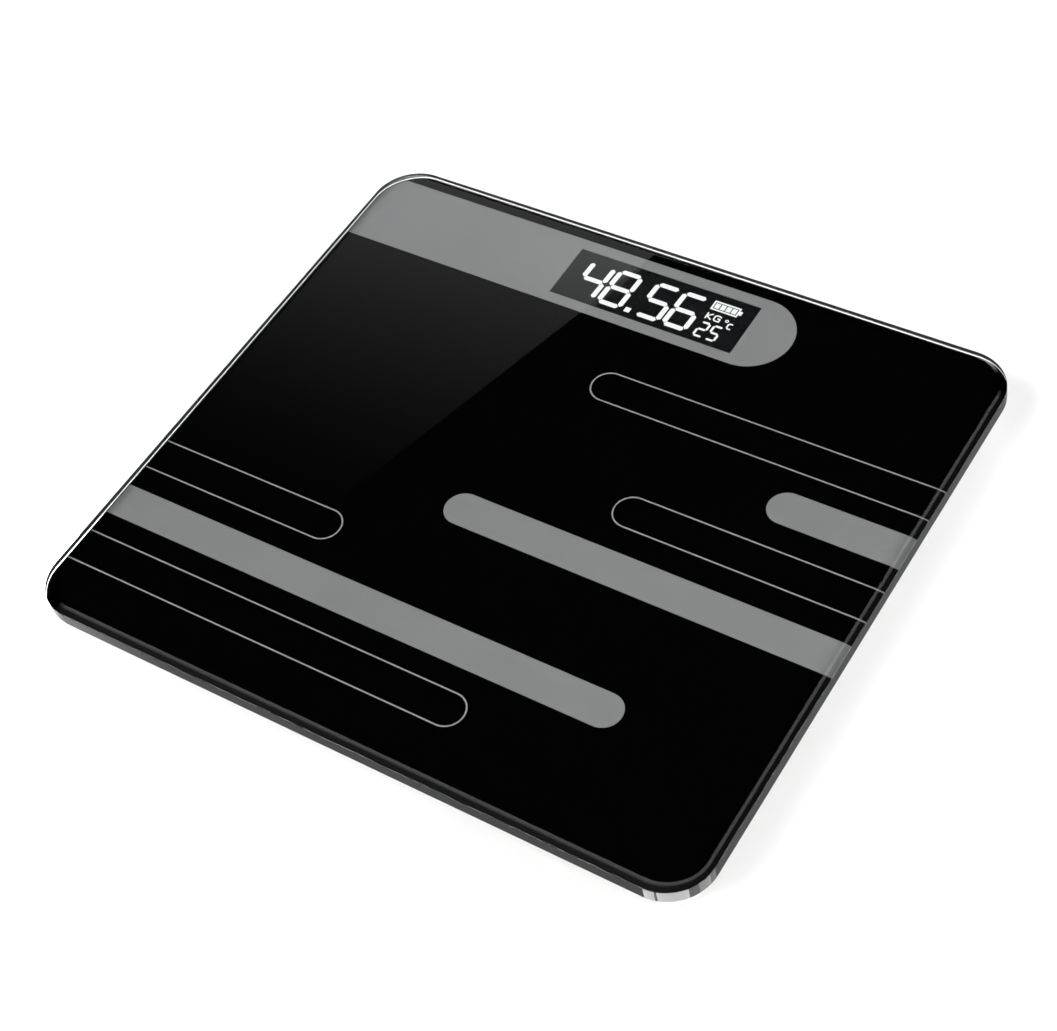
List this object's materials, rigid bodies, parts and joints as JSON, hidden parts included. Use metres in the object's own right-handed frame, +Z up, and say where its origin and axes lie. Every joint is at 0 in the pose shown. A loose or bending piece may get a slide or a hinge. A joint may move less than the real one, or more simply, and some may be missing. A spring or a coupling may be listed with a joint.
{
  "type": "digital bathroom scale",
  "caption": "Flat electronic bathroom scale: bevelled black glass platform with grey bar print and lit display, on a white tray with sprung load-cell feet.",
  "frame": {"origin": "floor under the middle of the platform", "axes": "+Z up, +Y from the user towards the display edge, +X to the user's right"},
  "size_m": [0.28, 0.25, 0.026],
  "materials": {
    "clear_glass": "polished tempered glass",
    "grey_ink": "satin silver-grey screen ink",
    "line_ink": "light grey screen ink",
    "black_ink": "black screen ink",
    "black_foam": "closed-cell foam tape",
    "white_abs": "fine satin moulding texture",
    "foot_abs": "satin moulding",
    "pad_rubber": "soft matt rubber",
    "cell_steel": "stamped steel",
    "gauge_silicone": "white silicone",
    "plated_screw": "zinc plated",
    "lcd_dark": "dark negative LCD glass",
    "lcd_lit": "lit white segments",
    "diffuser": "milky acrylic",
    "zebra_rubber": "conductive elastomer",
    "board_green": "solder mask",
    "chip_epoxy": "black epoxy",
    "ceramic": "ceramic and moulded parts",
    "sensor_bead": "epoxy bead",
    "button_abs": "grey moulding",
    "black_plastic": "black acetal",
    "switch_metal": "steel can",
    "battery_jacket": "printed sleeve",
    "nickel": "nickel plated spring steel",
    "wire_pvc": "PVC sleeve"
  },
  "bodies": {
    "platform": {"backlight_panel": "diffuser", "base_tray": "white_abs", "battery_cell_1": "battery_jacket", "battery_cell_2": "battery_jacket", "battery_spring_1": "nickel", "battery_spring_2": "nickel", "battery_wires": "wire_pvc", "black_print": "black_ink", "board_components": "ceramic", "board_screws": "plated_screw", "cell_retainer_front_left": "white_abs", "cell_retainer_front_right": "white_abs", "cell_retainer_rear_left": "white_abs", "cell_retainer_rear_right": "white_abs", "cell_wires_front_left": "wire_pvc", "cell_wires_front_right": "wire_pvc", "cell_wires_rear_left": "wire_pvc", "cell_wires_rear_right": "wire_pvc", "control_chip": "chip_epoxy", "display_frame": "white_abs", "foam_gasket": "black_foam", "glass_platform": "clear_glass", "grey_print": "grey_ink", "lcd_panel": "lcd_dark", "lcd_segments": "lcd_lit", "line_print": "line_ink", "link_contact": "nickel", "load_cell_front_left": "cell_steel", "load_cell_front_right": "cell_steel", "load_cell_rear_left": "cell_steel", "load_cell_rear_right": "cell_steel", "main_board": "board_green", "retainer_screws": "plated_screw", "strain_gauge_front_left": "gauge_silicone", "strain_gauge_front_right": "gauge_silicone", "strain_gauge_rear_left": "gauge_silicone", "strain_gauge_rear_right": "gauge_silicone", "temperature_sensor": "sensor_bead", "terminal_contacts": "nickel", "unit_switch": "switch_metal", "zebra_strips": "zebra_rubber"},
    "foot_front_left": {"foot_cup_front_left": "foot_abs", "foot_pad_front_left": "pad_rubber"},
    "foot_front_right": {"foot_cup_front_right": "foot_abs", "foot_pad_front_right": "pad_rubber"},
    "foot_rear_left": {"foot_cup_rear_left": "foot_abs", "foot_pad_rear_left": "pad_rubber"},
    "foot_rear_right": {"foot_cup_rear_right": "foot_abs", "foot_pad_rear_right": "pad_rubber"},
    "unit_button": {"unit_button": "button_abs", "switch_plunger": "black_plastic"},
    "battery_cover": {"battery_cover": "white_abs"}
  },
  "joints": [
    {"name": "foot_front_left_press", "type": "slide", "parent": "platform", "child": "foot_front_left", "axis": [0, 0, 1], "range_m": [0, 0.0004], "stiffness_N_per_m": 900000, "deforming": ["load_cell_front_left"]},
    {"name": "foot_front_right_press", "type": "slide", "parent": "platform", "child": "foot_front_right", "axis": [0, 0, 1], "range_m": [0, 0.0004], "stiffness_N_per_m": 900000, "deforming": ["load_cell_front_right"]},
    {"name": "foot_rear_left_press", "type": "slide", "parent": "platform", "child": "foot_rear_left", "axis": [0, 0, 1], "range_m": [0, 0.0004], "stiffness_N_per_m": 900000, "deforming": ["load_cell_rear_left"]},
    {"name": "foot_rear_right_press", "type": "slide", "parent": "platform", "child": "foot_rear_right", "axis": [0, 0, 1], "range_m": [0, 0.0004], "stiffness_N_per_m": 900000, "deforming": ["load_cell_rear_right"]},
    {"name": "unit_button_press", "type": "slide", "parent": "platform", "child": "unit_button", "axis": [0, 0, 1], "range_m": [0, 0.0007], "stiffness_N_per_m": 1500},
    {"name": "battery_cover_hinge", "type": "hinge", "parent": "platform", "child": "battery_cover", "pos_m": [0, 0.0272, 0.0047], "axis": [-1, 0, 0], "range_deg": [0, 85]}
  ]
}
